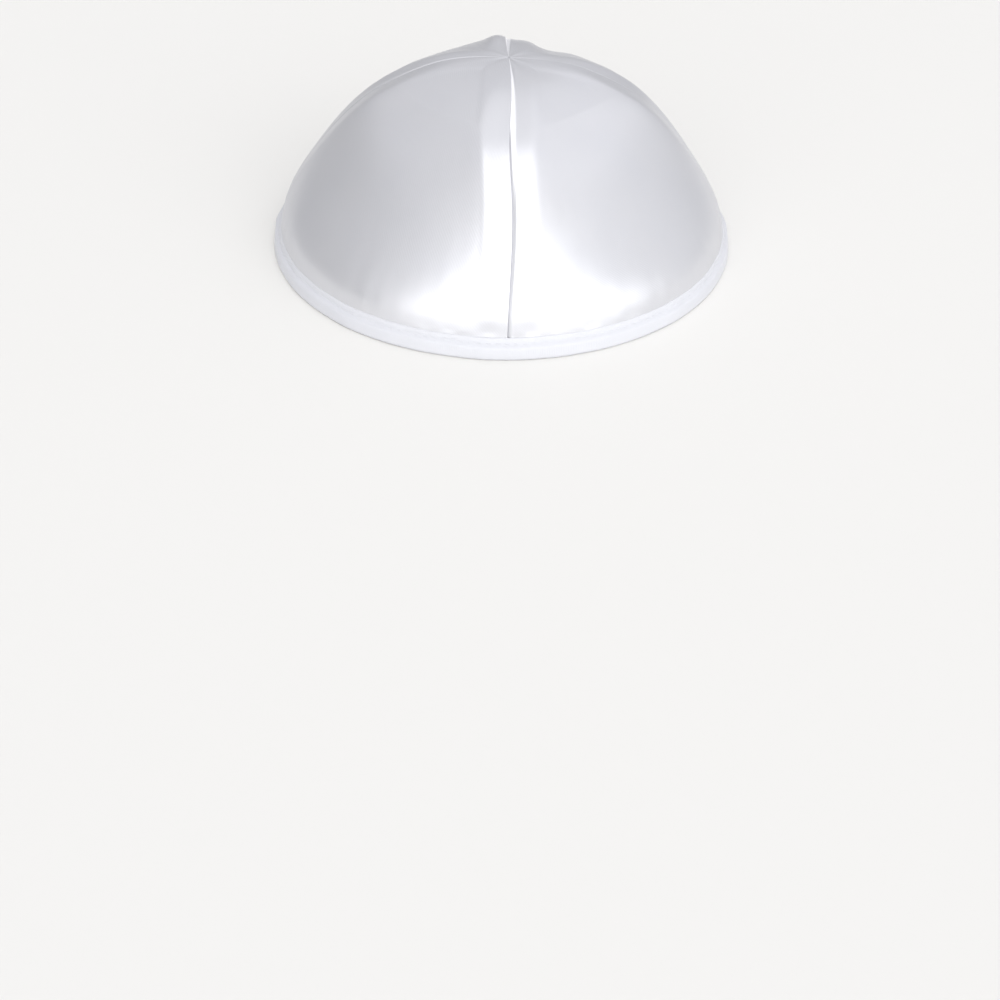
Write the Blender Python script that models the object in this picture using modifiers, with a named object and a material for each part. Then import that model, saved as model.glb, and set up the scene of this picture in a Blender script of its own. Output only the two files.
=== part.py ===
"""Four-panel satin skullcap with a ribbon-bound rim, standing on its rim.

The origin is the middle of the ring that the cap rests on, +Z is up, and -Y is the back of the
wearer's head. The four seams meet at the top and run down to -Y, +X, +Y and -X.
"""

import math
from collections import namedtuple

import bmesh
import bpy
import numpy as np

# Overall sizes, in metres
RIM_RADIUS = 0.075  # outside of the binding at its foot
CROWN_HEIGHT = 0.0559  # from the resting face to where the seams would meet without their lift

# Cloth and seams
CLOTH_THICKNESS = 0.0012
SEAM_GAP = 0.0003
ALLOWANCE_WIDTH = 0.0080  # cloth pressed open under each side of a seam, which stiffens it
ALLOWANCE_RISE = 0.0005  # how far that cloth lifts the panel
ALLOWANCE_EDGE = 0.0015  # how softly the panel turns and drops at its edge
BLEND_HEIGHT = 0.0070  # above the binding, where the round wall gives way to the full sections

# Ribbon folded over the lower edge
BINDING_HEIGHT = 0.0060
BINDING_THICKNESS = 0.0010
BINDING_CLEARANCE = 0.0003
FOLD_RADIUS = 0.0006  # rounding at the bottom of the fold
SELVEDGE_CHAMFER = 0.0004  # at the ribbon's two upper edges

# The crown's sections from the rim to the top. height is a share of CROWN_HEIGHT, reach is the
# seams' distance from the middle as a share of the cloth's radius at the rim, and flatness runs
# from 0 for a round section to 1 for a square one with its corners at the seams.
Section = namedtuple("Section", "height reach flatness")
SECTIONS = (
    Section(0.00, 1.000, 0.00),
    Section(0.24, 0.940, 0.03),
    Section(0.505, 0.792, 0.35),
    Section(0.71, 0.640, 0.67),
    Section(0.85, 0.482, 1.00),
    Section(0.97, 0.255, 0.88),
    Section(1.00, 0.000, 0.75),
)
WIDEST_STRIP = 0.25  # near the top, the most of the radius that the stiffened strip takes

# How finely the surfaces are divided
PANEL_COLUMNS = 22
PANEL_ROWS = 18
COLUMN_CROWDING = 0.45  # 0 spaces a panel's columns evenly, 1 crowds them all to the seams
BINDING_STEPS = 80
LEG_ROWS = 3

QUARTER_TURN = math.pi / 2
HALFWAY_ROUND = 1.0 - math.cos(QUARTER_TURN / 2)  # how far a rounded corner is cut at its middle
PANELS = ("crown_panel_back_right", "crown_panel_front_right",
          "crown_panel_front_left", "crown_panel_back_left")


def clear_scene():
    for obj in list(bpy.data.objects):
        bpy.data.objects.remove(obj)


def smooth_step(low, high, value):
    share = np.clip((value - low) / (high - low), 0.0, 1.0)
    return share * share * (3.0 - 2.0 * share)


def section_at(climb):
    """(height, reach, flatness) at a climb from 0 at the rim to 1 at the top, in metres.

    A smooth curve passes through the table's rows. Beyond the top the reach goes on down the far
    side, so the crown arrives there level.
    """
    rows = np.array(SECTIONS)
    beyond_rim = 2.0 * rows[0] - rows[1]
    beyond_top = rows[-2] * (1.0, -1.0, 1.0)
    knots = np.vstack([beyond_rim, rows, beyond_top])
    place = np.clip(climb, 0.0, 1.0) * (len(rows) - 1)
    first = np.minimum(place.astype(int), len(rows) - 2)
    t = (place - first)[..., None]
    a, b, c, d = (knots[first + step] for step in range(4))
    curve = 0.5 * (2.0 * b + (c - a) * t + (2.0 * a - 5.0 * b + 4.0 * c - d) * t ** 2
                   + (3.0 * b - a - 3.0 * c + d) * t ** 3)
    cloth_radius = RIM_RADIUS - BINDING_THICKNESS - BINDING_CLEARANCE
    return curve[..., 0] * CROWN_HEIGHT, curve[..., 1] * cloth_radius, curve[..., 2]


def lean_at(climb):
    """How far the cloth leans inwards from upright along a seam, in radians."""
    step = 1e-4
    height_above, reach_above, _ = section_at(climb + step)
    height_below, reach_below, _ = section_at(climb - step)
    return np.arctan2(reach_below - reach_above, height_above - height_below)


def climb_to(height):
    """The climb at which the cloth reaches a height near the rim."""
    climbs = np.linspace(0.0, 0.5, 500)
    heights, _, _ = section_at(climbs)
    return np.interp(height, heights, climbs)


def crown_points(turn, climb):
    """Points on the outside of one panel, at turns of 0 to a quarter circle from seam to seam.

    A section's radius is its reach, drawn in between the seams towards a square's straight side
    by the section's flatness. It stays round in the strip that the cloth pressed open beside a
    seam stiffens, and turns at the strip's edge. That cloth also lifts the strip along its slope.
    """
    height, reach, flatness = section_at(climb)
    full = smooth_step(BINDING_HEIGHT, BINDING_HEIGHT + BLEND_HEIGHT, height)
    from_seam = np.minimum(turn, QUARTER_TURN - turn)
    straight = math.cos(QUARTER_TURN / 2) / np.cos(turn - QUARTER_TURN / 2)
    strip = np.minimum(ALLOWANCE_WIDTH / np.maximum(reach, 1e-9), WIDEST_STRIP)
    edge = strip * ALLOWANCE_EDGE / ALLOWANCE_WIDTH
    past_strip = edge * np.logaddexp(0.0, (from_seam - strip) / edge)
    radius = reach * (1.0 - full * flatness * (1.0 - straight - from_seam + past_strip))

    lean = lean_at(climb)
    band = 0.5 * (1.0 - np.tanh((reach * from_seam - ALLOWANCE_WIDTH) / ALLOWANCE_EDGE))
    rise = ALLOWANCE_RISE * band * full
    radius = radius + rise * np.cos(lean)
    height = height + rise * np.sin(lean)
    return np.stack([radius * np.sin(turn), -radius * np.cos(turn), height], axis=-1)


def hem_climb():
    """Where a panel starts, so that its lower inner edge clears the inside of the fold."""
    lean = float(lean_at(np.float64(0.0)))
    hem = BINDING_THICKNESS + BINDING_CLEARANCE + CLOTH_THICKNESS * math.sin(lean)
    return float(climb_to(hem))


def panel_mesh():
    """The outside of one panel: a flat grid bent to a quarter of the crown, closed at its tip."""
    grid = bmesh.new()
    bmesh.ops.create_grid(grid, x_segments=PANEL_COLUMNS, y_segments=PANEL_ROWS, size=0.5)
    across = QUARTER_TURN * np.array([vertex.co.x + 0.5 for vertex in grid.verts])
    up = np.array([vertex.co.y + 0.5 for vertex in grid.verts])
    turn = across - COLUMN_CROWDING * np.sin(4.0 * across) / 4.0
    start = hem_climb()
    points = crown_points(turn, start + (1.0 - start) * up)
    points += (SEAM_GAP / 2, -SEAM_GAP / 2, 0.0)
    for vertex, point in zip(grid.verts, points):
        vertex.co = point
    bmesh.ops.remove_doubles(grid, verts=grid.verts, dist=1e-6)
    mesh = bpy.data.meshes.new("crown_panel")
    grid.to_mesh(mesh)
    grid.free()
    mesh.shade_smooth()
    return mesh


def cloth_material(name, color, roughness, sheen):
    material = bpy.data.materials.new(name)
    material.use_nodes = True
    shader = material.node_tree.nodes["Principled BSDF"]
    shader.inputs["Base Color"].default_value = (*color, 1.0)
    shader.inputs["Roughness"].default_value = roughness
    shader.inputs["Metallic"].default_value = 0.0
    shader.inputs["Sheen Weight"].default_value = sheen
    return material


def add_object(name, mesh, collection, parent):
    obj = bpy.data.objects.new(name, mesh)
    collection.objects.link(obj)
    obj.parent = parent
    return obj


def add_panels(collection, parent):
    """Four copies of one panel, each a quarter turn on, given their thickness inwards."""
    mesh = panel_mesh()
    mesh.materials.append(cloth_material("white_satin", (0.80, 0.80, 0.84), 0.35, 0.3))
    for index, name in enumerate(PANELS):
        panel = add_object(name, mesh, collection, parent)
        panel.rotation_euler.z = index * QUARTER_TURN
        wall = panel.modifiers.new("wall", "SOLIDIFY")
        wall.thickness = CLOTH_THICKNESS
        wall.offset = -1.0
        wall.use_even_offset = False


def binding_profile():
    """(radius, height) points round the folded ribbon: down its outside, under, and up inside.

    Its two legs follow the panels' wall at the clearance, and the panels' hem hangs between them.
    """
    heights = np.linspace(BINDING_HEIGHT, FOLD_RADIUS, LEG_ROWS + 1)
    climbs = climb_to(heights)
    _, wall, _ = section_at(climbs)
    across = 1.0 / np.cos(lean_at(climbs))
    gap_outer = wall + BINDING_CLEARANCE * across
    outer = gap_outer + BINDING_THICKNESS * across
    gap_inner = wall - (CLOTH_THICKNESS + BINDING_CLEARANCE) * across
    inner = gap_inner - BINDING_THICKNESS * across
    corner = HALFWAY_ROUND * FOLD_RADIUS

    outside = [(outer[0] - SELVEDGE_CHAMFER, BINDING_HEIGHT)]
    outside += [(outer[0], BINDING_HEIGHT - SELVEDGE_CHAMFER)]
    outside += list(zip(outer[1:], heights[1:]))
    foot = [(outer[-1] - corner, corner), (outer[-1] - FOLD_RADIUS, 0.0),
            (inner[-1] + FOLD_RADIUS, 0.0), (inner[-1] + corner, corner)]
    inside = list(zip(inner[:0:-1], heights[:0:-1]))
    inside += [(inner[0], BINDING_HEIGHT - SELVEDGE_CHAMFER)]
    inside += [(inner[0] + SELVEDGE_CHAMFER, BINDING_HEIGHT)]
    slot = list(zip(gap_inner[:-1], heights[:-1]))
    slot += [(gap_inner[-1], BINDING_THICKNESS), (gap_outer[-1], BINDING_THICKNESS)]
    slot += list(zip(gap_outer[-2::-1], heights[-2::-1]))
    return outside + foot + inside + slot


def add_binding(collection, parent):
    """The ribbon's folded section, turned all round the rim."""
    profile = binding_profile()
    mesh = bpy.data.meshes.new("rim_binding")
    edges = [(index, (index + 1) % len(profile)) for index in range(len(profile))]
    mesh.from_pydata([(radius, 0.0, height) for radius, height in profile], edges, [])
    mesh.materials.append(cloth_material("white_ribbon", (0.82, 0.82, 0.88), 0.55, 0.1))
    binding = add_object("rim_binding", mesh, collection, parent)
    turned = binding.modifiers.new("turned", "SCREW")
    turned.angle = 4 * QUARTER_TURN
    turned.steps = BINDING_STEPS
    turned.render_steps = BINDING_STEPS
    turned.use_merge_vertices = True
    turned.merge_threshold = 1e-6
    turned.use_smooth_shade = True


def main():
    clear_scene()
    collection = bpy.data.collections.new("skullcap")
    bpy.context.scene.collection.children.link(collection)
    root = bpy.data.objects.new("skullcap_root", None)
    collection.objects.link(root)
    add_panels(collection, root)
    add_binding(collection, root)


main()
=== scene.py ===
"""Satin skullcap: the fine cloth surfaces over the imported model, and a plain pale studio.

The cap stands on its rim with +Z up. The back seam runs down to -Y, towards the camera, and the
other seams follow counterclockwise seen from above: right at +X, front at +Y and left at -X.
"""

import math
from collections import namedtuple

import bpy
import numpy as np
from mathutils import Matrix, Vector


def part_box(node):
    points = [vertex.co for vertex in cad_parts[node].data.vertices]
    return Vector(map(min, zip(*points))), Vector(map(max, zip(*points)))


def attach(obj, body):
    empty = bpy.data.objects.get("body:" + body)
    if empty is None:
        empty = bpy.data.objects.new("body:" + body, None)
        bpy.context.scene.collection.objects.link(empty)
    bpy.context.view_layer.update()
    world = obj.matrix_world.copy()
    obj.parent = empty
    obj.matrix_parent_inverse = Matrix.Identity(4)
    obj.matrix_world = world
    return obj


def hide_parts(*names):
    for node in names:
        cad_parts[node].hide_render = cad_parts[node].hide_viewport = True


bl_info = {
    "name": "Satin Skullcap",
    "version": (1, 0, 0),
    "blender": (4, 5, 0),
    "location": "3D View > Sidebar > Skullcap",
    "description": "Makes a four-panel satin skullcap with a ribbon-bound rim, and its studio",
    "category": "Object",
}

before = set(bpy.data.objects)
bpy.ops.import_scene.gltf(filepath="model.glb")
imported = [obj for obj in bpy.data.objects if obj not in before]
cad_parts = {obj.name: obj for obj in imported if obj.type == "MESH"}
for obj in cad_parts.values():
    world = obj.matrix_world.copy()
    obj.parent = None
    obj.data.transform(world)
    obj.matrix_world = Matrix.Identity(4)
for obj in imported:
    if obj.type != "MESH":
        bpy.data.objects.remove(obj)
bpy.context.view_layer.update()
RIM_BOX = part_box("rim_binding")
CROWN_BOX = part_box("crown_panel_back_left")

MM = 0.001
QUARTER_TURN = math.pi / 2
FULL_TURN = 2 * math.pi
TINY = 1e-9  # metres, kept under a divisor that reaches 0 at the top

# The crown's sections from the rim to the top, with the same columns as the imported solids: height
# is a share of the crown's height, reach the seams' distance from the middle as a share of the
# cloth's radius at the rim, and flatness 0 for a round section and 1 for a square one.
Section = namedtuple("Section", "height reach flatness")
SECTIONS = (
    Section(0.00, 1.000, 0.00),
    Section(0.24, 0.940, 0.03),
    Section(0.505, 0.792, 0.35),
    Section(0.71, 0.640, 0.67),
    Section(0.85, 0.482, 1.00),
    Section(0.97, 0.255, 0.88),
    Section(1.00, 0.000, 0.75),
)
WIDEST_STRIP = 0.25  # near the top, the most of the radius that a seam's stiffened strip takes

# How the cloth meets a seam: edge_mm is how softly it turns where its pressed allowance ends,
# dip_mm how deep it rolls into the seam and roll_mm over what width, and the last column how
# strongly a painted highlight whitens its rolled edge, from 0 to 1.
Side = namedtuple("Side", "edge_mm dip_mm roll_mm frayed")
# How each seam was sewn. drifts_mm is how far it lies counterclockwise of its axis, at equal
# steps from the top out to the rim. before is the cloth on its clockwise side, after on the other.
Seam = namedtuple("Seam", "name drifts_mm before after")
SEAMS = (
    Seam("back", (0.9, 1.2, 1.0, 2.6, 2.2),
         Side(0.8, 0.03, 0.25, 0.0), Side(1.4, 0.56, 1.20, 1.0)),
    Seam("right", (-1.6, -0.2, 1.2, 2.6, 4.0),
         Side(1.5, 0.05, 0.80, 0.0), Side(1.5, 0.05, 0.80, 0.0)),
    Seam("front", (0.4, 0.4, 0.4, 0.4, 0.4),
         Side(1.5, 0.50, 0.80, 0.6), Side(1.5, 0.60, 0.80, 0.6)),
    Seam("left", (-1.0, -1.9, -2.8, -3.6, -4.5),
         Side(1.5, 0.15, 0.80, 0.15), Side(1.5, 0.12, 0.80, 0.0)),
)
SETTLING_MM = 12.0  # how far from the top a seam takes most of its drift
ROLL_POWER = 1.3  # 1 rolls the cloth into a seam as a straight slope, more as a hollow curve
ROLL_SETTLES = 8 * MM  # how far from the top a roll has its full size
SEAM_FACING = 3 * MM  # how near a seam the cloth starts to face the seam's own plane
PANELS = ("back_right", "front_right", "front_left", "back_left")  # each after the seam above it
APEX_SHIFT_MM = 1.3  # how far to the right the seams meet

# Dimples that the binding's stitches pull into the cloth just above it: how far
# counterclockwise of the back seam, how high above the ribbon, half width, half height, depth
Dimple = namedtuple("Dimple", "around_mm above_mm half_width_mm half_height_mm depth_mm")
DIMPLES = (
    Dimple(6.5, 2.2, 5.6, 2.8, 0.13),
    Dimple(-5.0, 1.8, 4.2, 2.6, 0.12),
    Dimple(24.0, 2.0, 6.0, 1.6, 0.05),
    Dimple(-25.0, 2.2, 6.0, 1.6, 0.05),
)

# Swellings of the cloth, and hollows where the rise is negative: a seam's row in SEAMS, how far
# counterclockwise of it, how far out from the top, half width, half length and rise
Swelling = namedtuple("Swelling", "seam around_mm out_mm half_width_mm half_length_mm rise_mm")
SWELLINGS = (
    Swelling(2, 3.0, 20.0, 3.4, 9.0, 1.3),
    Swelling(2, -14.0, 27.0, 7.0, 10.0, -1.5),
    Swelling(1, 8.0, 62.0, 16.0, 14.0, -0.7),
)

# A painted highlight along a seam's rolled edge, in place of the light that edge catches: how
# wide it is, how far out a gap opens in it along the seam, where the groove's own shade shows,
# and how wide that gap is, how far out the white fades, and how white it stays. A pair is the
# two ends of a smooth step, from where it is 0 to where it is 1.
PAINTED_HIGHLIGHT_WIDTH = 1.5 * MM
PAINTED_HIGHLIGHT_MOST = 0.046  # near the top, the most of the reach that it takes
PAINTED_HIGHLIGHT_ENDS = (1.4, 0.6)  # as shares of its width
HIGHLIGHT_GAP_OPENS = (31 * MM, 38 * MM)
HIGHLIGHT_GAP_ENDS = (0.65 * MM, 0.35 * MM)
PAINTED_HIGHLIGHT_FADES = (53 * MM, 42 * MM)
PAINTED_HIGHLIGHT_LEAST = 0.06

# The inside of the cap: how far the allowances stand in from the cloth and how sharp their raw
# edges are, how deep and wide a groove the seam draws, and how far above the ribbon both start
FLAP_DEPTH, FLAP_EDGE = 0.4 * MM, 0.2 * MM
GROOVE_DEPTH, GROOVE_WIDTH = 0.3 * MM, 0.4 * MM
INSIDE_BLEND = 2 * MM

# Unevenness, as whole waves round the cap and the seed of their phases
PUCKERS = ((31, 43, 58, 77), 3)
PUCKER_HEIGHT, PUCKER_STARTS, PUCKER_FADES = 0.07 * MM, 1.5 * MM, 7.0 * MM  # above the ribbon
LONG_WAVES = ((3, 5, 8), 5)
CLIMBING_WAVES = ((1, 2), 7)  # these run from the rim to the top, over CLIMB_TURN radians
CLIMB_TURN = 9
LONG_WAVE_HEIGHT = 0.12 * MM
RIBBON_SLACK = ((9, 14, 23, 37), 11)
RIBBON_SLACK_SHARE = 0.5  # of the ribbon's bow
RIBBON_WAVER = ((7, 12, 19, 34), 13)
RIBBON_WAVER_SHARE = 0.012  # of the ribbon's height

# The ribbon: how flush its stitched edge lies as a share of its full stand-off, how far below
# that edge it starts to stand off and does so in full, its crease, and its bulge over a seam
PRESSED_GAP = 0.01 * MM  # between the cloth and the ribbon's stitched edge
FLUSH_SHARE = 0.16
STAND_OFF_STARTS, STAND_OFF_ENDS = 0.2 * MM, 2.6 * MM
CREASE_DEPTH, CREASE_AT_STITCH, CREASE_WIDTH = 0.50 * MM, 0.02 * MM, 0.36 * MM
SEAM_BULGE, BULGE_BLEND = 0.25 * MM, 2 * MM
SELVEDGE_RADIUS, FOLD_RADIUS = 0.25 * MM, 0.9 * MM

# The stitches: how much of the pitch half of one takes, how far one lies off the ribbon outside
# and inside, and how far its ends sink
STITCH_HALF = 0.40
STITCH_LIFT_OUTSIDE, STITCH_LIFT_INSIDE = 0.03 * MM, 0.10 * MM
STITCH_SINK = 0.24 * MM

# Sockets of Blender's mix node that share their names with others
MIX_A, MIX_B, MIX_RESULT = 6, 7, 2

# How finely the surfaces are divided
PANEL_ROWS, PANEL_COLUMNS = 190, 150
COLUMN_CROWDING = 0.9  # 0 spaces a panel's columns evenly, 1 crowds them all to the seams
RIBBON_COLUMNS, RIBBON_ROWS, BEND_ROWS = 1440, 18, 6
LIP_SUPPORT = 0.03  # radians from the lip's start to the row that keeps its shading crisp
STITCH_RINGS, STITCH_SIDES = 9, 6

# The photograph's camera, fitted to the rim and the outline in its frame of 1000 x 1000 pixels
IMAGE_SIZE = 1000
FOCAL_PIXELS = 1030
ORIGIN_ROW = 230  # where the middle of the rim's resting ring shows
CAMERA_DISTANCE = 0.3556
CAMERA_ELEVATION = math.radians(28.5)
CAMERA_SIDEWAYS = 0.0011
CAMERA_ROLL = math.radians(1.05)
SENSOR_WIDTH_MM = 36

# The even dim light from all round, and what the camera sees past the floor
AMBIENT_COLOR, AMBIENT_STRENGTH = "f8f8fb", 0.42
BACKDROP_COLOR = "efeeec"

# Soft lights: azimuth counterclockwise of -Y, elevation and width in degrees, and the brightness
# that the disc itself has
Softbox = namedtuple("Softbox", "name azimuth elevation width brightness color")
SOFTBOXES = (
    Softbox("window_behind_camera", 5, 5, 108, 1.7, "ffffff"),
    Softbox("window_above_camera", 8, 48, 46, 0.95, "ffffff"),
    Softbox("window_upper", 3, 70, 26, 1.2, "ffffff"),
    Softbox("window_top", 2, 84, 12, 2.6, "ffffff"),
    Softbox("window_right", 50, 10, 56, 0.9, "ffffff"),
    Softbox("window_left", -46, 38, 46, 0.30, "ffffff"),
    Softbox("wall_right", 95, 33, 60, 0.18, "ffffff"),
    Softbox("wall_right_glow", 105, 38, 92, 0.16, "f4f6ff"),
    Softbox("ceiling", 180, 68, 104, 0.33, "fafaff"),
    Softbox("ceiling_lamp", 170, 72, 40, 0.25, "ffffff"),
)


def linear(hex_color):
    """Linear RGBA of an sRGB colour written as six hex digits."""
    channels = [int(hex_color[start:start + 2], 16) / 255 for start in (0, 2, 4)]
    bent = [c / 12.92 if c <= 0.04045 else ((c + 0.055) / 1.055) ** 2.4 for c in channels]
    return (*bent, 1.0)


def length_property(name, description, default):
    return bpy.props.FloatProperty(name=name, description=description, default=default,
                                   min=0.0, precision=5, subtype="DISTANCE", unit="LENGTH")


def color_property(name, description, hex_color):
    return bpy.props.FloatVectorProperty(name=name, description=description, size=4, min=0.0,
                                         max=1.0, subtype="COLOR", default=linear(hex_color))


class SkullcapSizes(bpy.types.PropertyGroup):
    """Real sizes of the cap and its cloth, in metres."""

    rim_radius: length_property(
        "Rim radius", "Outside of the binding", RIM_BOX[1].x)
    crown_rise: length_property(
        "Crown height", "Resting face to the cloth at the top", CROWN_BOX[1].z)
    cloth_thickness: length_property(
        "Cloth thickness", "Satin with its stiffening", 1.2 * MM)
    allowance_width: length_property(
        "Allowance width", "Cloth pressed open on each side of a seam", 8.0 * MM)
    allowance_rise: length_property(
        "Allowance rise", "How far the pressed cloth lifts the panel", 0.25 * MM)
    seam_gap: length_property(
        "Seam gap", "Between two panels inside a seam", 0.03 * MM)
    blend_height: length_property(
        "Blend height", "Above the binding, where round gives way to cornered", 7.0 * MM)
    ribbon_height: length_property(
        "Ribbon height", "Resting face to the ribbon's upper edge", RIM_BOX[1].z)
    ribbon_thickness: length_property(
        "Ribbon thickness", "Folded ribbon on each side of the cloth", 1.0 * MM)
    ribbon_clearance: length_property(
        "Ribbon clearance", "Between the ribbon and the cloth it holds", 0.3 * MM)
    ribbon_bow: length_property(
        "Ribbon bow", "How far the ribbon's face bulges between its edges", 0.25 * MM)
    stitch_pitch: length_property(
        "Stitch pitch", "From one stitch to the next along the binding", 2.6 * MM)
    stitch_below_edge: length_property(
        "Stitch line", "Below the ribbon's upper edge", 1.4 * MM)
    thread_radius: length_property(
        "Thread radius", "Polyester sewing thread", 0.11 * MM)


class SkullcapFinishes(bpy.types.PropertyGroup):
    """Colours of the cloth, the ribbon, the thread and the floor."""

    satin: color_property("Satin", "Face of the satin", "d2d2d5")
    satin_shade: color_property("Satin shade", "Its cooler patches", "cbccd1")
    # The next colour is a painted highlight, laid near white along the seams' rolled edges.
    satin_painted_highlight: color_property("Satin edge", "Where it is folded into a seam", "f6f6f8")
    satin_back: color_property("Satin back", "Dull side of the satin, inside the cap", "dcdce0")
    ribbon: color_property("Ribbon", "Face of the ribbon", "c6c7cc")
    thread: color_property("Thread", "Sewing thread", "c6c7cc")
    floor: color_property("Floor", "Studio floor", "dfdedb")


def smooth_step(low, high, value):
    share = np.clip((value - low) / (high - low), 0.0, 1.0)
    return share * share * (3.0 - 2.0 * share)


def wrapped(angle):
    """The same angle from half a turn clockwise to half a turn counterclockwise."""
    return (angle + math.pi) % FULL_TURN - math.pi


def unit(vectors):
    return vectors / np.maximum(np.linalg.norm(vectors, axis=-1, keepdims=True), 1e-12)


def round_axis(radius, turn, height):
    """Points at a radius and height, and at a turn counterclockwise of -Y about the axis."""
    return np.stack([radius * np.sin(turn), -radius * np.cos(turn), height], axis=-1)


def ripple(turn, waves, seed):
    """Sum of one sine a wave, each a whole number of times round the cap, of about unit size."""
    phases = np.random.default_rng(seed).uniform(0.0, FULL_TURN, len(waves))
    total = sum(np.sin(wave * turn + phase) for wave, phase in zip(waves, phases))
    return total / math.sqrt(len(waves))


def curve_through(knots, place):
    """A smooth curve at a place from 0 at the second knot, with 1 from knot to knot.

    Each stretch is a cubic. It passes through its two knots, and its slope at a knot is half the
    step between that knot's neighbours.
    """
    first = np.minimum(place.astype(int), len(knots) - 4)
    t = (place - first)[..., None]
    a, b, c, d = (knots[first + step] for step in range(4))
    return 0.5 * (2.0 * b + (c - a) * t + (2.0 * a - 5.0 * b + 4.0 * c - d) * t ** 2
                  + (3.0 * b - a - 3.0 * c + d) * t ** 3)


def section_at(climb, sizes):
    """(height, reach, flatness) at a climb from 0 at the rim to 1 at the top.

    A smooth curve passes through the table's rows. Beyond the top the reach goes on down the far
    side, so the crown arrives there level.
    """
    rows = np.array(SECTIONS)
    beyond_rim = 2.0 * rows[0] - rows[1]
    beyond_top = rows[-2] * (1.0, -1.0, 1.0)
    knots = np.vstack([beyond_rim, rows, beyond_top])
    curve = curve_through(knots, np.clip(climb, 0.0, 1.0) * (len(rows) - 1))
    crown_height = sizes.crown_rise - sizes.allowance_rise
    cloth_radius = sizes.rim_radius - sizes.ribbon_thickness - sizes.ribbon_clearance
    return curve[..., 0] * crown_height, curve[..., 1] * cloth_radius, curve[..., 2]


def lean_at(climb, sizes):
    """How far the cloth leans inwards from upright along a seam, in radians."""
    step = 1e-4
    height_above, reach_above, _ = section_at(climb + step, sizes)
    height_below, reach_below, _ = section_at(climb - step, sizes)
    return np.arctan2(reach_below - reach_above, height_above - height_below)


def climb_to(height, sizes):
    """The climb at which the cloth reaches a height near the rim."""
    climbs = np.linspace(0.0, 0.5, 500)
    heights, _, _ = section_at(climbs, sizes)
    return np.interp(height, heights, climbs)


def wall_radius(height, sizes):
    """Radius of the cloth's outside at a height that the ribbon covers."""
    _, reach, _ = section_at(climb_to(height, sizes), sizes)
    return reach


def fullness(height, sizes):
    """0 at the ribbon's upper edge, and 1 from where the crown has its full sections."""
    return smooth_step(sizes.ribbon_height, sizes.ribbon_height + sizes.blend_height, height)


def nearer(turn, sides, column):
    """A column of the panel's first or last side, whichever is nearer."""
    first, last = (getattr(side, column) for side in sides)
    return np.where(turn < QUARTER_TURN / 2, first, last)


def panel_base(turn, climb, sizes, sides):
    """Points of a panel's plain outside for turns of 0 to a quarter circle.

    A section's radius is its reach, drawn in between the seams towards a square's straight side
    by the section's flatness. It stays round in the stiffened strip beside a seam.
    """
    height, reach, flatness = section_at(climb, sizes)
    flatness = flatness * fullness(height, sizes)
    from_seam = np.minimum(turn, QUARTER_TURN - turn)
    straight = math.cos(QUARTER_TURN / 2) / np.cos(turn - QUARTER_TURN / 2)
    strip = np.minimum(sizes.allowance_width / np.maximum(reach, TINY), WIDEST_STRIP)
    edge = strip * nearer(turn, sides, "edge_mm") * MM / sizes.allowance_width
    past_strip = edge * np.logaddexp(0.0, (from_seam - strip) / edge)
    radius = reach * (1.0 - flatness * (1.0 - straight - from_seam + past_strip))
    return round_axis(radius, turn, height)


def grid_normals(points):
    """Unit outward normals of a grid whose columns run counterclockwise and whose rows climb.

    Each is the cross product of the central differences across and up the grid. The last row is
    a single point and takes the mean of the row below it.
    """
    across = np.gradient(points, axis=1)
    up = np.gradient(points, axis=0)
    normals = np.cross(across, up)
    normals[-1] = normals[-2].mean(axis=0)
    return unit(normals)


def panel_swell(turn, climb, index, sizes):
    """How far the whole cloth swells out or sinks in, in metres: a bell curve for each row."""
    height, reach, _ = section_at(climb, sizes)
    swell = np.zeros_like(turn)
    for swelling in SWELLINGS:
        arc = wrapped(turn + (index - swelling.seam) * QUARTER_TURN)
        sideways = (arc * reach - swelling.around_mm * MM) / (swelling.half_width_mm * MM)
        outwards = (reach - swelling.out_mm * MM) / (swelling.half_length_mm * MM)
        lift = swelling.rise_mm * MM * np.exp(-sideways ** 2 - outwards ** 2)
        swell = swell + np.where(np.abs(arc) < QUARTER_TURN, lift, 0.0)
    return swell * fullness(height, sizes)


def panel_relief(turn, climb, index, sizes, sides):
    """How far the outside stands off its plain form, in metres.

    The pressed allowances lift a band on each side of a seam, with a tanh for its edge. The cloth
    rolls into the seam by a power of its share of the roll's width. Puckers fade upwards from the
    ribbon by an exponential, dimples lie just above it, and long shallow waves run through it all.
    """
    height, reach, _ = section_at(climb, sizes)
    top = sizes.ribbon_height
    full = fullness(height, sizes)
    off_seam = reach * np.minimum(turn, QUARTER_TURN - turn)
    edge = nearer(turn, sides, "edge_mm") * MM
    band = 0.5 * (1.0 - np.tanh((off_seam - sizes.allowance_width) / edge))
    relief = sizes.allowance_rise * band * full

    settled = np.minimum(reach / ROLL_SETTLES, 1.0)
    roll = nearer(turn, sides, "roll_mm") * MM * settled
    inside_roll = np.clip(1.0 - off_seam / np.maximum(roll, TINY), 0.0, 1.0)
    relief = relief - nearer(turn, sides, "dip_mm") * MM * settled * inside_roll ** ROLL_POWER

    around = turn + index * QUARTER_TURN
    puckered = smooth_step(top, top + PUCKER_STARTS, height) * np.exp((top - height) / PUCKER_FADES)
    relief = relief + PUCKER_HEIGHT * puckered * ripple(around, *PUCKERS)
    waves = ripple(around, *LONG_WAVES) * ripple(climb * CLIMB_TURN, *CLIMBING_WAVES)
    relief = relief + LONG_WAVE_HEIGHT * full * waves
    arc = wrapped(around)
    for dimple in DIMPLES:
        sideways = (arc * reach - dimple.around_mm * MM) / (dimple.half_width_mm * MM)
        upwards = (height - top - dimple.above_mm * MM) / (dimple.half_height_mm * MM)
        relief = relief - dimple.depth_mm * MM * np.exp(-sideways ** 2 - upwards ** 2)
    return relief


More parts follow.
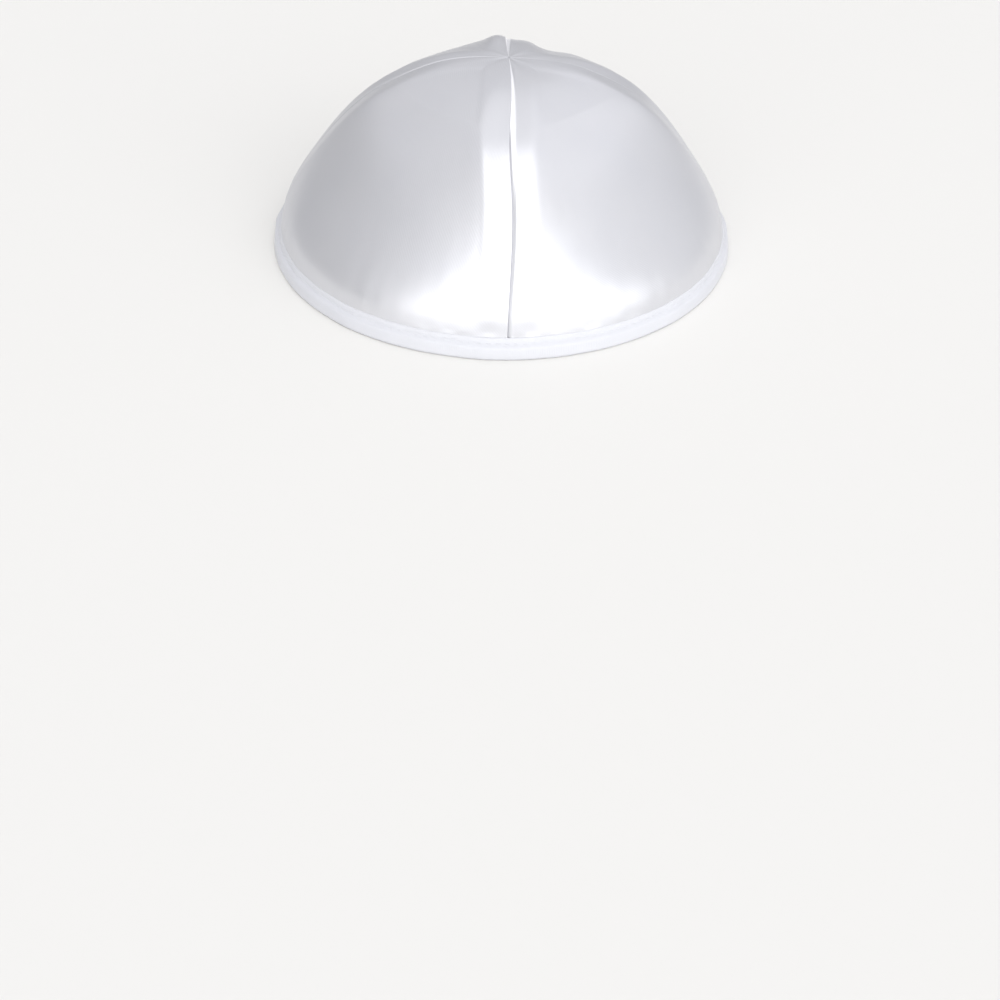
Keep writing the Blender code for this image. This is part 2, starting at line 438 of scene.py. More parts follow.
def stray(points, sizes):
    """Move points as the real seams stray, each seam by its drift and the top by its shift.

    A point turns about the axis by the drifts of the two seams beside it, weighted by the squared
    cosine of its angle from each, and slides right by the shift, which fades towards the rim.
    """
    reach = np.hypot(points[..., 0], points[..., 1])
    turn = np.arctan2(points[..., 0], -points[..., 1])
    towards_rim = np.minimum(reach / sizes.rim_radius, 1.0)
    drift = np.zeros_like(turn)
    for index, seam in enumerate(SEAMS):
        beside = np.maximum(np.cos(turn - index * QUARTER_TURN), 0.0) ** 2
        knots = np.pad(seam.drifts_mm, 1, "edge")[:, None] * MM
        own = curve_through(knots, towards_rim * (len(seam.drifts_mm) - 1))[..., 0]
        drift = drift + own * beside
    settle = 1.0 - np.exp(-reach / (SETTLING_MM * MM))
    turn = turn + drift * settle / np.maximum(reach, TINY)
    moved = round_axis(reach, turn, points[..., 2])
    moved[..., 0] += APEX_SHIFT_MM * MM * (1.0 - towards_rim ** 2)
    return moved


def turned(points, angle):
    """Points turned counterclockwise about the vertical axis."""
    cosine, sine = math.cos(angle), math.sin(angle)
    x, y, z = np.moveaxis(points, -1, 0)
    return np.stack([cosine * x - sine * y, sine * x + cosine * y, z], axis=-1)


def make_mesh(name, points, face_groups, group_slots, uv=None):
    """A smooth mesh from a point array and arrays of like-sided faces, a material slot for each."""
    mesh = bpy.data.meshes.new(name)
    corners = np.concatenate([faces.ravel() for faces in face_groups]).astype(np.int32)
    corner_counts = np.concatenate([np.full(len(f), f.shape[1]) for f in face_groups])
    starts = np.concatenate([[0], np.cumsum(corner_counts)[:-1]]).astype(np.int32)
    slots = np.concatenate([np.full(len(f), s) for f, s in zip(face_groups, group_slots)])
    mesh.vertices.add(len(points))
    mesh.vertices.foreach_set("co", points.astype(np.float32).ravel())
    mesh.loops.add(len(corners))
    mesh.loops.foreach_set("vertex_index", corners)
    mesh.polygons.add(len(starts))
    mesh.polygons.foreach_set("loop_start", starts)
    mesh.polygons.foreach_set("material_index", slots.astype(np.int32))
    mesh.update(calc_edges=True)
    if uv is not None:
        layer = mesh.uv_layers.new(name="cloth")
        layer.data.foreach_set("uv", uv[corners].astype(np.float32).ravel())
    mesh.validate()
    mesh.shade_smooth()
    return mesh


def add_piece(name, mesh, materials):
    """Put a mesh in the scene as a piece that rides on the cap's one body."""
    for material in materials:
        mesh.materials.append(material)
    piece = bpy.data.objects.new(name, mesh)
    bpy.context.scene.collection.objects.link(piece)
    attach(piece, "root")
    return piece


def ring_faces(rows, columns):
    """Quads of a grid closed both ways, its rows along the outer side running downwards."""
    row, column = np.meshgrid(np.arange(rows), np.arange(columns), indexing="ij")
    row_after, column_after = (row + 1) % rows, (column + 1) % columns
    corners = [row * columns + column, row_after * columns + column,
               row_after * columns + column_after, row * columns + column_after]
    return np.stack(corners, axis=-1).reshape(-1, 4)


def shell_faces(rows, columns):
    """Faces of a panel's closed shell: outer side with its edges, and inner side.

    Each side has rows x columns points and then its tip, the inner side after the outer.
    """
    side = rows * columns + 1
    row, column = np.meshgrid(np.arange(rows - 1), np.arange(columns - 1), indexing="ij")
    low_left = (row * columns + column).ravel()
    outer = np.stack([low_left, low_left + 1, low_left + columns + 1, low_left + columns], -1)
    last = (rows - 1) * columns + np.arange(columns - 1)
    outer_tip = np.stack([last, last + 1, np.full_like(last, side - 1)], -1)
    inner = outer[:, ::-1] + side
    inner_tip = outer_tip[:, ::-1] + side

    left = np.append(np.arange(rows) * columns, side - 1)
    right = np.append(np.arange(rows) * columns + columns - 1, side - 1)
    hem = np.arange(columns)
    edges = [np.stack([left[:-1], left[1:], left[1:] + side, left[:-1] + side], -1),
             np.stack([right[1:], right[:-1], right[:-1] + side, right[1:] + side], -1),
             np.stack([hem[1:], hem[:-1], hem[:-1] + side, hem[1:] + side], -1)]
    return (outer, outer_tip, *edges), (inner, inner_tip)


def with_tip(grid):
    """A grid's points as one list, with its last row as a single point."""
    return np.vstack([grid[:-1].reshape(-1, grid.shape[-1]), grid[-1, :1]])


def panel_grid(sizes):
    """Turns and climbs of a panel's points, from the hem to the top.

    The turn runs evenly from seam to seam less a sine, so that its columns crowd at the seams.
    The hem's inner edge clears the inside of the ribbon's fold.
    """
    share = np.linspace(0.0, 1.0, PANEL_COLUMNS)
    turn = QUARTER_TURN * (share - COLUMN_CROWDING * np.sin(FULL_TURN * share) / FULL_TURN)
    lean = float(lean_at(np.float64(0.0), sizes))
    hem = sizes.ribbon_thickness + sizes.ribbon_clearance + sizes.cloth_thickness * math.sin(lean)
    start = float(climb_to(hem, sizes))
    climb = start + (1.0 - start) * np.linspace(0.0, 1.0, PANEL_ROWS + 1)
    return np.meshgrid(turn, climb)


def panel_normals(base, off_first, off_last):
    """Normals of a panel's plain form, which lean into the seam's own plane near each seam.

    Two panels then meet face to face.
    """
    normals = grid_normals(base)
    normals[..., 0] *= smooth_step(0.0, SEAM_FACING, off_first)
    normals[..., 1] *= smooth_step(0.0, SEAM_FACING, off_last)
    normals = unit(normals)
    normals[-1] = (0.0, 0.0, 1.0)
    return normals


def panel_depth(height, off_seam, sizes):
    """How far a panel's inside lies below its plain form, in metres.

    That is the cloth's thickness, and more by a tanh under the pressed allowances, whose raw
    edges show inside. Each seam draws a groove into them by an exponential.
    """
    flap = 0.5 * (1.0 - np.tanh((off_seam - sizes.allowance_width) / FLAP_EDGE))
    groove = np.exp(-off_seam / GROOVE_WIDTH)
    above = smooth_step(sizes.ribbon_height, sizes.ribbon_height + INSIDE_BLEND, height)
    return sizes.cloth_thickness + above * (FLAP_DEPTH * flap - GROOVE_DEPTH * groove)


def painted_seam_highlight(turn, reach, off_seam, sides):
    """How strongly a painted highlight whitens the rolled edge beside each seam, from 0 to 1.

    It fades off the seam and out towards the rim, and a gap opens along its middle, where the
    seam's groove shows its own shade.
    """
    width = np.minimum(PAINTED_HIGHLIGHT_WIDTH, PAINTED_HIGHLIGHT_MOST * reach + TINY)
    edge = smooth_step(*PAINTED_HIGHLIGHT_ENDS, off_seam / width)
    highlight_gap = smooth_step(*HIGHLIGHT_GAP_OPENS, reach) * smooth_step(*HIGHLIGHT_GAP_ENDS, off_seam)
    faded = PAINTED_HIGHLIGHT_LEAST + (1.0 - PAINTED_HIGHLIGHT_LEAST) * smooth_step(*PAINTED_HIGHLIGHT_FADES, reach)
    frayed = nearer(turn, sides, "frayed") * edge * (1.0 - highlight_gap) * faded
    frayed[-1] = 0.0
    return frayed


def crown_panel_mesh(index, sizes):
    """Closed shell of one panel, its outside and inside a wall's thickness apart.

    Both sides follow the plain form with its swellings, and the outside stands off it by the
    relief. The cloth's own map runs along the seam and across the panel, in metres.
    """
    sides = (SEAMS[index].after, SEAMS[(index + 1) % len(SEAMS)].before)
    turn, climb = panel_grid(sizes)
    height, reach, _ = section_at(climb, sizes)
    off_first, off_last = reach * turn, reach * (QUARTER_TURN - turn)
    off_seam = np.minimum(off_first, off_last)

    base = panel_base(turn, climb, sizes, sides)
    normals = panel_normals(base, off_first, off_last)
    base = base + normals * panel_swell(turn, climb, index, sizes)[..., None]
    outside = base + normals * panel_relief(turn, climb, index, sizes, sides)[..., None]
    inside = base - normals * panel_depth(height, off_seam, sizes)[..., None]
    gap = (sizes.seam_gap / 2, -sizes.seam_gap / 2, 0.0)
    faces = [stray(turned(face + gap, index * QUARTER_TURN), sizes) for face in (outside, inside)]
    points = np.concatenate([with_tip(face) for face in faces])

    steps = np.linalg.norm(np.diff(base[:, 0], axis=0), axis=-1)
    along = np.append(0.0, np.cumsum(steps))[:, None]
    across = reach * (turn - QUARTER_TURN / 2)
    uv = with_tip(np.stack([across, along + np.zeros_like(across)], axis=-1))
    # The painted highlight's strength at each point, kept on the mesh for the satin's colour.
    frayed = with_tip(painted_seam_highlight(turn, reach, off_seam, sides)[..., None])

    outer, inner = shell_faces(PANEL_ROWS, PANEL_COLUMNS)
    slots = [0] * len(outer) + [1] * len(inner)
    mesh = make_mesh("panel_" + PANELS[index], points, (*outer, *inner), slots, np.tile(uv, (2, 1)))
    attribute = mesh.attributes.new("frayed", "FLOAT", "POINT")
    attribute.data.foreach_set("value", np.tile(frayed.ravel(), 2))
    return mesh


def seam_thickening(turn, sizes):
    """1 over each seam, where the ribbon crosses the pressed allowances, and 0 between them."""
    away = np.abs((turn + QUARTER_TURN / 2) % QUARTER_TURN - QUARTER_TURN / 2) * sizes.rim_radius
    width = sizes.allowance_width
    return smooth_step(width + BULGE_BLEND, width - BULGE_BLEND, away)


def stitch_count(sizes):
    return round(FULL_TURN * sizes.rim_radius / sizes.stitch_pitch)


def ribbon_face(height, turn, sizes, top):
    """How far the ribbon's outer face stands off the cloth at a height and turn.

    It lies nearly flush at its stitched edge and stands off by its thickness and clearance
    below. To that come a bow as half a sine and a parabola where it crosses a seam, less a
    bell-shaped crease along the stitch line that is deepest at each stitch.
    """
    share = np.clip(height / top, 0.0, 1.0)
    free = smooth_step(STAND_OFF_STARTS, STAND_OFF_ENDS, top - height)
    full = sizes.ribbon_clearance + sizes.ribbon_thickness
    stand_off = full * (FLUSH_SHARE + (1.0 - FLUSH_SHARE) * free)
    slack = 1.0 + RIBBON_SLACK_SHARE * ripple(turn, *RIBBON_SLACK)
    bow = sizes.ribbon_bow * slack * np.sin(math.pi * share)
    below = (height - (top - sizes.stitch_below_edge)) / CREASE_WIDTH
    crease = CREASE_DEPTH + CREASE_AT_STITCH * np.cos(turn * stitch_count(sizes))
    bulge = SEAM_BULGE * seam_thickening(turn, sizes) * 4.0 * share * (1.0 - share)
    return stand_off + bow + bulge - crease * np.exp(-below ** 2)


def rim_binding_mesh(sizes):
    """The folded ribbon: one closed profile carried round the rim, its edge and face wavering.

    Going round the profile: over the outer edge, down the outer face, round the fold, under, up
    the inner face, over the inner edge, down into the slot that holds the cloth, and up again to
    where the outer edge presses on the cloth. The edges and the fold are quarter circles.
    """
    turn = np.linspace(0.0, FULL_TURN, RIBBON_COLUMNS, endpoint=False)[None, :]
    top = sizes.ribbon_height * (1.0 + RIBBON_WAVER_SHARE * ripple(turn, *RIBBON_WAVER))
    thickness, clearance = sizes.ribbon_thickness, sizes.ribbon_clearance
    edge = thickness / 2
    bend = np.linspace(0.0, QUARTER_TURN, BEND_ROWS)[:, None]
    face = np.linspace(1.0, 0.0, RIBBON_ROWS)[:, None]

    def radius_at(height, offset):
        return wall_radius(np.clip(height, 0.0, None), sizes) + offset

    lip_bend = np.vstack([bend[:1], [[LIP_SUPPORT]], bend[1:]])
    lip_height = top - SELVEDGE_RADIUS * (1.0 - np.cos(lip_bend))
    lip_face = ribbon_face(top - SELVEDGE_RADIUS, turn, sizes, top)
    lip = radius_at(lip_height, PRESSED_GAP + (lip_face - PRESSED_GAP) * np.sin(lip_bend))
    outer_height = FOLD_RADIUS + (top - SELVEDGE_RADIUS - FOLD_RADIUS) * face
    outer = radius_at(outer_height, ribbon_face(outer_height, turn, sizes, top))
    foot_height = FOLD_RADIUS * (1.0 - np.sin(bend))
    foot = outer[-1] - FOLD_RADIUS * (1.0 - np.cos(bend))

    inner_offset = -(sizes.cloth_thickness + clearance + thickness)
    inner_bow = 0.5 * sizes.ribbon_bow * np.sin(math.pi * face)
    inner_height = FOLD_RADIUS + (top - edge - FOLD_RADIUS) * face[::-1]
    inner = radius_at(inner_height, inner_offset - inner_bow)
    heel_height = FOLD_RADIUS * (1.0 - np.cos(bend))
    heel = inner[0] + FOLD_RADIUS * (1.0 - np.sin(bend))
    inner_lip_height = top - edge * (1.0 - np.cos(bend[::-1]))
    inner_lip = radius_at(inner_lip_height, inner_offset + thickness * (1.0 - np.sin(bend[::-1])))

    level = np.array([[1.0], [0.5], [0.0]])
    slot_height = thickness + (top - thickness) * level
    slot_down = radius_at(slot_height, -(sizes.cloth_thickness + clearance))
    slot_up = radius_at(slot_height[::-1], clearance + (PRESSED_GAP - clearance) * level[::-1])

    profile = ((lip[1:], lip_height[1:]), (outer[1:], outer_height[1:]),
               (foot[1:], foot_height[1:]), (heel[:-1], heel_height[:-1]),
               (inner[:-1], inner_height[:-1]), (inner_lip[:-1], inner_lip_height[:-1]),
               (slot_down, slot_height), (slot_up, slot_height[::-1]))
    radius, height = (np.concatenate([part + np.zeros_like(turn) for part in column])
                      for column in zip(*profile))
    steps = np.hypot(np.diff(radius, axis=0), np.diff(height, axis=0))
    girth = np.concatenate([np.zeros_like(turn), np.cumsum(steps, axis=0)])
    around = np.broadcast_to(turn * sizes.rim_radius, radius.shape)
    uv = np.stack([around, girth], -1).reshape(-1, 2)
    points = stray(round_axis(radius, turn, height), sizes).reshape(-1, 3)
    faces = ring_faces(len(radius), RIBBON_COLUMNS)
    return make_mesh("rim_binding_ribbon", points, [faces], [0], uv)


def stitch_points(sizes, outside):
    """Stitches all round the ribbon: each a short thread that dips into the cloth at its ends.

    Along a stitch from -1 to 1 the thread's radius is that of a capsule, and its middle line
    sinks by the fourth power of the distance.
    """
    count = stitch_count(sizes)
    middle = (np.arange(count) * FULL_TURN / count)[:, None, None]
    along = np.linspace(-1.0, 1.0, STITCH_RINGS)[None, :, None]
    side = np.linspace(0.0, FULL_TURN, STITCH_SIDES, endpoint=False)[None, None, :]
    thin = sizes.thread_radius * np.clip(1.0 - along ** 6, 0.08, 1.0)
    turn = middle + STITCH_HALF * FULL_TURN / count * along
    top = sizes.ribbon_height
    height = top - sizes.stitch_below_edge + thin * np.sin(side)
    if outside:
        offset, lift, way = ribbon_face(height, turn, sizes, top), STITCH_LIFT_OUTSIDE, 1.0
    else:
        offset = -(sizes.cloth_thickness + sizes.ribbon_clearance + sizes.ribbon_thickness)
        lift, way = STITCH_LIFT_INSIDE, -1.0
    raised = lift - STITCH_SINK * along ** 4 + thin * np.cos(side)
    radius = wall_radius(height, sizes) + offset + way * raised
    points = round_axis(*np.broadcast_arrays(radius, turn, height))
    return stray(points.reshape(-1, 3), sizes)


def thread_faces(count, rings, sides, outward):
    """Quads along each of the threads, and one face over each of their ends."""
    ring, side = np.meshgrid(np.arange(rings - 1), np.arange(sides), indexing="ij")
    after = (side + 1) % sides
    quads = np.stack([ring * sides + side, (ring + 1) * sides + side,
                      (ring + 1) * sides + after, ring * sides + after], -1).reshape(-1, 4)
    caps = np.stack([np.arange(sides)[::-1], (rings - 1) * sides + np.arange(sides)])[::-1, ::-1]
    start = (np.arange(count) * rings * sides)[:, None, None]
    quads = (quads[None] + start).reshape(-1, 4)
    caps = (caps[None] + start).reshape(-1, sides)
    if not outward:
        quads, caps = quads[:, ::-1], caps[:, ::-1]
    return [quads, caps]


def add_node(tree, kind, settings=None, links=None):
    """Add a node with its settings and incoming links, by property, socket name or number."""
    node = tree.nodes.new(kind)
    for name, value in (settings or {}).items():
        if isinstance(name, int) or name in node.inputs:
            node.inputs[name].default_value = value
        else:
            setattr(node, name, value)
    for name, source in (links or {}).items():
        tree.links.new(source, node.inputs[name])
    return node


def new_material(name):
    """A material with an empty tree, and that tree."""
    material = bpy.data.materials.new(name)
    material.use_nodes = True
    material.node_tree.nodes.clear()
    return material, material.node_tree


def add_surface(tree, settings, links):
    """Add a material's shader and its output."""
    shader = add_node(tree, "ShaderNodeBsdfPrincipled", settings, links)
    add_node(tree, "ShaderNodeOutputMaterial", None, {"Surface": shader.outputs["BSDF"]})


def cloth_millimetres(tree):
    """The cloth's own map in millimetres, along its yarns."""
    uv = add_node(tree, "ShaderNodeUVMap", {"uv_map": "cloth"}).outputs["UV"]
    scaled = add_node(tree, "ShaderNodeMapping", {"Scale": (1000, 1000, 1000)}, {"Vector": uv})
    return scaled.outputs["Vector"]


def woven_satin(finishes):
    """Polyester satin: long floats of bright filament yarn, pressed smooth.

    To the eye it is silvery white: a broad soft gloss that is stretched across the floats, dull
    lavender grey where it turns from the light, and faint slanting lines where floats end.
    """
    material, tree = new_material("white_polyester_satin")
    place = cloth_millimetres(tree)
    # Floats end about every 0.1 mm in the real weave, and the lines are drawn at 0.6 mm to show.
    lines = add_node(tree, "ShaderNodeTexWave", {
        "bands_direction": "DIAGONAL", "Scale": 0.74, "Distortion": 1.2, "Detail": 1.0,
        "Detail Scale": 0.3}, {"Vector": place})
    streaked = add_node(tree, "ShaderNodeMapping", {"Scale": (1.6, 0.09, 1.0)}, {"Vector": place})
    streaks = add_node(tree, "ShaderNodeTexNoise", {"Scale": 1.0, "Detail": 3.0},
                       {"Vector": streaked.outputs["Vector"]})
    patches = add_node(tree, "ShaderNodeTexNoise", {"Scale": 0.035, "Detail": 2.0},
                       {"Vector": place})
    color = add_node(tree, "ShaderNodeMix", {
        "data_type": "RGBA", MIX_A: finishes.satin, MIX_B: finishes.satin_shade},
        {"Factor": patches.outputs["Fac"]})
    # Painted highlight: along the rolled edge beside some seams the colour turns near white and
    # the metal gloss drops away, standing in for the light that edge catches.
    frayed = add_node(tree, "ShaderNodeAttribute", {"attribute_name": "frayed"}).outputs["Fac"]
    metallic = add_node(tree, "ShaderNodeMapRange", {"To Min": 0.58, "To Max": 0.0},
                        {"Value": frayed})
    highlighted = add_node(tree, "ShaderNodeMix", {"data_type": "RGBA", MIX_B: finishes.satin_painted_highlight},
                     {"Factor": frayed, MIX_A: color.outputs[MIX_RESULT]})
    rough = add_node(tree, "ShaderNodeMapRange", {
        "From Min": 0.3, "From Max": 0.7, "To Min": 0.31, "To Max": 0.37},
        {"Value": streaks.outputs["Fac"]})
    relief = add_node(tree, "ShaderNodeMath", {"operation": "MULTIPLY_ADD", 1: 0.35}, {
        0: streaks.outputs["Fac"], 2: lines.outputs["Fac"]})
    bump = add_node(tree, "ShaderNodeBump", {"Strength": 0.18, "Distance": 0.00005},
                    {"Height": relief.outputs["Value"]})
    tangent = add_node(tree, "ShaderNodeTangent", {"direction_type": "UV_MAP", "uv_map": "cloth"})
    add_surface(tree, {
        "IOR": 1.5, "Anisotropic": 0.35, "Sheen Weight": 0.0, "Specular IOR Level": 0.4}, {
        "Base Color": highlighted.outputs[MIX_RESULT], "Metallic": metallic.outputs["Result"],
        "Roughness": rough.outputs["Result"], "Normal": bump.outputs["Normal"],
        "Tangent": tangent.outputs["Tangent"]})
    return material


def satin_reverse(finishes):
    """The same satin from behind: short floats and dull warp, so it is matt, with a fine rib."""
    material, tree = new_material("satin_reverse")
    place = cloth_millimetres(tree)
    # The real rib is about 0.2 mm, drawn at 0.5 mm to show.
    rib = add_node(tree, "ShaderNodeTexWave", {
        "bands_direction": "X", "Scale": 0.63, "Distortion": 0.6, "Detail Scale": 0.5},
        {"Vector": place})
    bump = add_node(tree, "ShaderNodeBump", {"Strength": 0.25, "Distance": 0.0001},
                    {"Height": rib.outputs["Fac"]})
    patches = add_node(tree, "ShaderNodeTexNoise", {"Scale": 0.06, "Detail": 3.0},
                       {"Vector": place})
    color = add_node(tree, "ShaderNodeMix", {
        "data_type": "RGBA", MIX_A: finishes.satin_back, MIX_B: finishes.satin_shade},
        {"Factor": patches.outputs["Fac"]})
    add_surface(tree, {
        "Roughness": 0.75, "IOR": 1.5, "Sheen Weight": 0.1, "Sheen Roughness": 0.5}, {
        "Base Color": color.outputs[MIX_RESULT], "Normal": bump.outputs["Normal"]})
    return material


def woven_ribbon(finishes):
    """Polyester ribbon, folded and pressed: duller than the satin, with fine ribs across it."""
    material, tree = new_material("white_polyester_ribbon")
    place = cloth_millimetres(tree)
    # The real ribs are about 0.25 mm apart, drawn at 0.5 mm to show.
    ribs = add_node(tree, "ShaderNodeTexWave", {
        "bands_direction": "X", "Scale": 0.63, "Distortion": 0.8, "Detail": 1.0,
        "Detail Scale": 0.4}, {"Vector": place})
    slubs = add_node(tree, "ShaderNodeTexNoise", {"Scale": 0.4, "Detail": 3.0}, {"Vector": place})
    relief = add_node(tree, "ShaderNodeMath", {"operation": "MULTIPLY_ADD", 1: 1.5}, {
        0: slubs.outputs["Fac"], 2: ribs.outputs["Fac"]})
    bump = add_node(tree, "ShaderNodeBump", {"Strength": 0.25, "Distance": 0.0001},
                    {"Height": relief.outputs["Value"]})
    rough = add_node(tree, "ShaderNodeMapRange", {
        "From Min": 0.3, "From Max": 0.7, "To Min": 0.50, "To Max": 0.62},
        {"Value": slubs.outputs["Fac"]})
    add_surface(tree, {
        "Base Color": finishes.ribbon, "Metallic": 0.0, "IOR": 1.5, "Specular IOR Level": 0.6,
        "Sheen Weight": 0.15, "Sheen Roughness": 0.4}, {
        "Roughness": rough.outputs["Result"], "Normal": bump.outputs["Normal"]})
    return material


def mottled(tree, scale, detail, strength, distance):
    """The normals of a noise over the object, its scale in lumps for each metre."""
    place = add_node(tree, "ShaderNodeTexCoord").outputs["Object"]
    noise = add_node(tree, "ShaderNodeTexNoise", {"Scale": scale, "Detail": detail},
                     {"Vector": place})
    bump = add_node(tree, "ShaderNodeBump", {"Strength": strength, "Distance": distance},
                    {"Height": noise.outputs["Fac"]})
    return bump.outputs["Normal"]


def spun_thread(finishes):
    """Spun polyester sewing thread: matt and slightly hairy, its two plies twisted together."""
    material, tree = new_material("white_spun_thread")
    add_surface(tree, {"Base Color": finishes.thread, "Roughness": 0.6, "IOR": 1.5},
                {"Normal": mottled(tree, 6000.0, 2.0, 0.4, 0.00005)})
    return material


def painted_floor(finishes):
    """Matt emulsion on board: an even pale surface with a barely seen mottle."""
    material, tree = new_material("pale_matt_paint")
    add_surface(tree, {"Base Color": finishes.floor, "Roughness": 0.8, "IOR": 1.5},
                {"Normal": mottled(tree, 4.0, 4.0, 0.05, 0.001)})
    return material


class SKULLCAP_OT_crown_panels(bpy.types.Operator):
    """Make the four satin panels and their seams"""

    bl_idname = "skullcap.crown_panels"
    bl_label = "Crown Panels"

    def execute(self, context):
        sizes = context.scene.skullcap_sizes
        finishes = context.scene.skullcap_finishes
        materials = (woven_satin(finishes), satin_reverse(finishes))
        for index, name in enumerate(PANELS):
            mesh = crown_panel_mesh(index, sizes)
            piece = add_piece("satin_panel_" + name, mesh, materials)
            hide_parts("crown_panel_" + name)
        return {"FINISHED"}


class SKULLCAP_OT_rim_binding(bpy.types.Operator):
    """Make the ribbon folded over the rim"""

    bl_idname = "skullcap.rim_binding"
    bl_label = "Rim Binding"

    def execute(self, context):
        sizes = context.scene.skullcap_sizes
        mesh = rim_binding_mesh(sizes)
        materials = (woven_ribbon(context.scene.skullcap_finishes),)
        piece = add_piece("ribbon_binding", mesh, materials)
        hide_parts("rim_binding")
        return {"FINISHED"}


class SKULLCAP_OT_binding_stitches(bpy.types.Operator):
    """Make the two lines of stitches along the ribbon's upper edges"""

    bl_idname = "skullcap.binding_stitches"
    bl_label = "Binding Stitches"

    def execute(self, context):
        sizes = context.scene.skullcap_sizes
        material = spun_thread(context.scene.skullcap_finishes)
        for name, outside in (("outer_stitches", True), ("inner_stitches", False)):
            faces = thread_faces(stitch_count(sizes), STITCH_RINGS, STITCH_SIDES, outside)
            mesh = make_mesh(name, stitch_points(sizes, outside), faces, [0, 0])
            add_piece(name, mesh, (material,))
        return {"FINISHED"}


def add_soft_light(softbox):
    """A round evenly bright disc far away, which Blender takes as a sun of that angle."""
    light = bpy.data.lights.new(softbox.name, "SUN")
    light.angle = math.radians(softbox.width)
    light.energy = softbox.brightness * math.pi * math.sin(light.angle / 2) ** 2
    light.color = linear(softbox.color)[:3]
    azimuth, elevation = math.radians(softbox.azimuth), math.radians(softbox.elevation)
    towards = Vector((math.sin(azimuth) * math.cos(elevation),
                      -math.cos(azimuth) * math.cos(elevation), math.sin(elevation)))
    lamp = bpy.data.objects.new(softbox.name, light)
    lamp.rotation_euler = towards.to_track_quat("Z", "Y").to_euler()
    bpy.context.scene.collection.objects.link(lamp)


def add_camera():
    """The photograph's camera: its distance, its height, and its small roll."""
    below_middle = math.atan((IMAGE_SIZE / 2 - ORIGIN_ROW) / FOCAL_PIXELS)
    pitch = CAMERA_ELEVATION + below_middle
    place = CAMERA_DISTANCE * Vector((0.0, -math.cos(CAMERA_ELEVATION), math.sin(CAMERA_ELEVATION)))
    place.x = CAMERA_SIDEWAYS
    up = Vector((0.0, math.sin(pitch), math.cos(pitch)))
    across = Vector((1.0, 0.0, 0.0))
    right = math.cos(CAMERA_ROLL) * across + math.sin(CAMERA_ROLL) * up
    up = math.cos(CAMERA_ROLL) * up - math.sin(CAMERA_ROLL) * across
    data = bpy.data.cameras.new("photo_camera")
    data.sensor_width = SENSOR_WIDTH_MM
    data.lens = SENSOR_WIDTH_MM * FOCAL_PIXELS / IMAGE_SIZE
    data.clip_start = 0.01
    facing = Matrix((right, up, right.cross(up))).transposed().to_4x4()
    camera = bpy.data.objects.new("photo_camera", data)
    camera.matrix_world = Matrix.Translation(place) @ facing
    bpy.context.scene.collection.objects.link(camera)
    bpy.context.scene.camera = camera


def add_floor(finishes):
    """A round flat floor, its rings spaced evenly in the square of their share of the radius."""
    radius, rings, spokes = 6.0, 12, 96
    turn = np.linspace(0.0, FULL_TURN, spokes, endpoint=False)
    ring = radius * np.linspace(1.0 / rings, 1.0, rings)[:, None] ** 2
    x, y = ring * np.cos(turn), ring * np.sin(turn)
    points = np.vstack([np.stack([x, y, np.zeros_like(x)], -1).reshape(-1, 3), [[0.0, 0.0, 0.0]]])
    row, column = np.meshgrid(np.arange(rings - 1), np.arange(spokes), indexing="ij")
    after = (column + 1) % spokes
    quads = np.stack([row * spokes + column, (row + 1) * spokes + column,
                      (row + 1) * spokes + after, row * spokes + after], -1).reshape(-1, 4)
    spoke = np.arange(spokes)
    middle = np.stack([spoke, (spoke + 1) % spokes, np.full(spokes, rings * spokes)], -1)
    mesh = make_mesh("studio_floor", points, [quads, middle], [0, 0])
    mesh.materials.append(painted_floor(finishes))
    floor = bpy.data.objects.new("studio_floor", mesh)
    bpy.context.scene.collection.objects.link(floor)


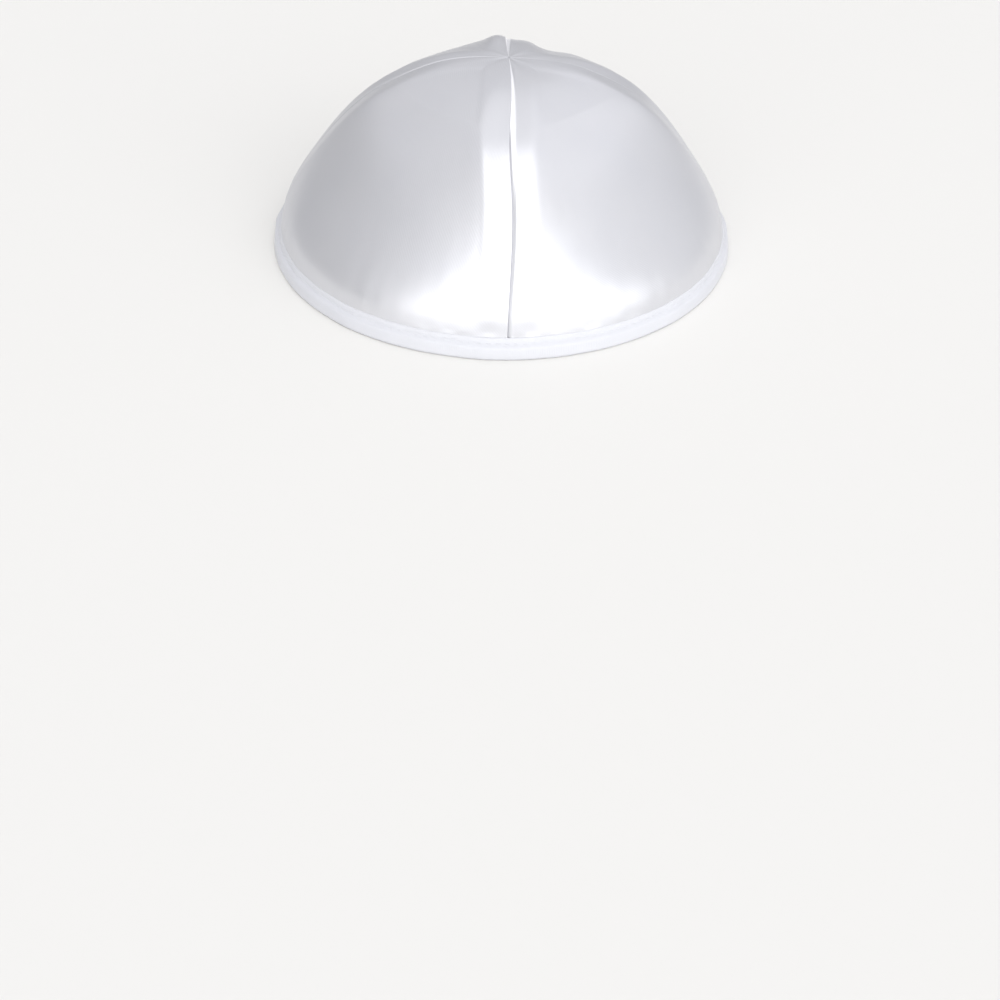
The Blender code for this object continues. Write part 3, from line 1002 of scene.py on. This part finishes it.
def add_world():
    """Even dim light from all round, and a pale backdrop where the camera sees past the floor."""
    world = bpy.data.worlds.new("studio")
    bpy.context.scene.world = world
    world.use_nodes = True
    tree = world.node_tree
    tree.nodes.clear()
    ambient = add_node(tree, "ShaderNodeBackground", {
        "Color": linear(AMBIENT_COLOR), "Strength": AMBIENT_STRENGTH})
    seen = add_node(tree, "ShaderNodeBackground", {
        "Color": linear(BACKDROP_COLOR), "Strength": 1.0})
    path = add_node(tree, "ShaderNodeLightPath")
    mix = add_node(tree, "ShaderNodeMixShader", None, {
        0: path.outputs["Is Camera Ray"], 1: ambient.outputs[0], 2: seen.outputs[0]})
    add_node(tree, "ShaderNodeOutputWorld", None, {"Surface": mix.outputs[0]})


class SKULLCAP_OT_stage(bpy.types.Operator):
    """Make the floor, the lights and the camera"""

    bl_idname = "skullcap.stage"
    bl_label = "Stage"

    def execute(self, context):
        add_floor(context.scene.skullcap_finishes)
        add_world()
        for softbox in SOFTBOXES:
            add_soft_light(softbox)
        add_camera()
        context.scene.view_settings.view_transform = "Standard"
        return {"FINISHED"}


STEPS = (SKULLCAP_OT_crown_panels, SKULLCAP_OT_rim_binding, SKULLCAP_OT_binding_stitches,
         SKULLCAP_OT_stage)


class SKULLCAP_PT_sidebar(bpy.types.Panel):
    """Sizes, colours and steps of the skullcap"""

    bl_idname = "SKULLCAP_PT_sidebar"
    bl_label = "Skullcap"
    bl_space_type = "VIEW_3D"
    bl_region_type = "UI"
    bl_category = "Skullcap"

    def draw(self, context):
        layout = self.layout
        for group in (context.scene.skullcap_sizes, context.scene.skullcap_finishes):
            box = layout.box()
            for name in group.__annotations__:
                box.prop(group, name)
        for step in STEPS:
            layout.operator(step.bl_idname)


CLASSES = (SkullcapSizes, SkullcapFinishes, *STEPS, SKULLCAP_PT_sidebar)


def register():
    for cls in CLASSES:
        bpy.utils.register_class(cls)
    bpy.types.Scene.skullcap_sizes = bpy.props.PointerProperty(type=SkullcapSizes)
    bpy.types.Scene.skullcap_finishes = bpy.props.PointerProperty(type=SkullcapFinishes)


def unregister():
    del bpy.types.Scene.skullcap_finishes
    del bpy.types.Scene.skullcap_sizes
    for cls in reversed(CLASSES):
        bpy.utils.unregister_class(cls)


def main():
    register()
    bpy.ops.skullcap.crown_panels()
    bpy.ops.skullcap.rim_binding()
    bpy.ops.skullcap.binding_stitches()
    bpy.ops.skullcap.stage()


if __name__ == "__main__":
    main()
